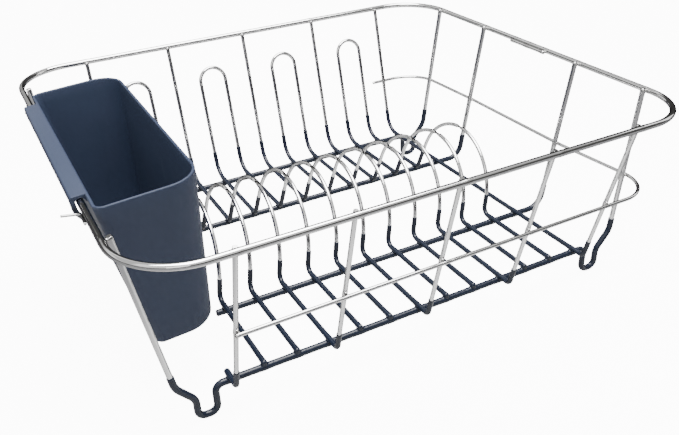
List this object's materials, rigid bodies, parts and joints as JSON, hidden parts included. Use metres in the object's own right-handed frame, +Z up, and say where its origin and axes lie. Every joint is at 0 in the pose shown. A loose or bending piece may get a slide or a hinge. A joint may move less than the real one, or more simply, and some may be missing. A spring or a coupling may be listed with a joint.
{
  "type": "dish drying rack",
  "caption": "Free-standing wire dish rack with leaning plate arches, coated base, raised rim and a caddy hooked on one end.",
  "frame": {"origin": "on the ground, under the middle of the rack's bounding box", "axes": "+X along the row of plate slots, away from the caddy; +Y towards the tall loops at the back; +Z up"},
  "size_m": [0.4414, 0.3784, 0.1654],
  "materials": {
    "chrome_wire": "bright chrome plate",
    "navy_vinyl": "glossy dip-coated navy vinyl",
    "navy_plastic": "satin moulded navy plastic"
  },
  "bodies": {
    "rack": {"top_rim": "chrome_wire", "rim_splice": "chrome_wire", "front_frame_wire": "navy_vinyl", "rear_frame_wire": "navy_vinyl", "front_plate_rail": "navy_vinyl", "rear_plate_rail": "navy_vinyl", "guard_rail": "chrome_wire", "front_left_upright": "chrome_wire", "rear_left_upright": "chrome_wire", "arch_wire_3": "navy_vinyl", "arch_wire_6": "navy_vinyl", "arch_wire_9": "navy_vinyl", "looped_arch_wire_1_2": "navy_vinyl", "looped_arch_wire_4_5": "navy_vinyl", "looped_arch_wire_7_8": "navy_vinyl", "looped_arch_wire_10_11": "navy_vinyl", "end_cross_wire": "navy_vinyl", "front_rim_spur": "chrome_wire", "rear_rim_spur": "chrome_wire"},
    "caddy": {"cutlery_caddy": "navy_plastic"}
  },
  "joints": [
    {"name": "caddy_lift", "type": "slide", "parent": "rack", "child": "caddy", "axis": [0, 0, 1], "range_m": [0, 0.2]}
  ]
}
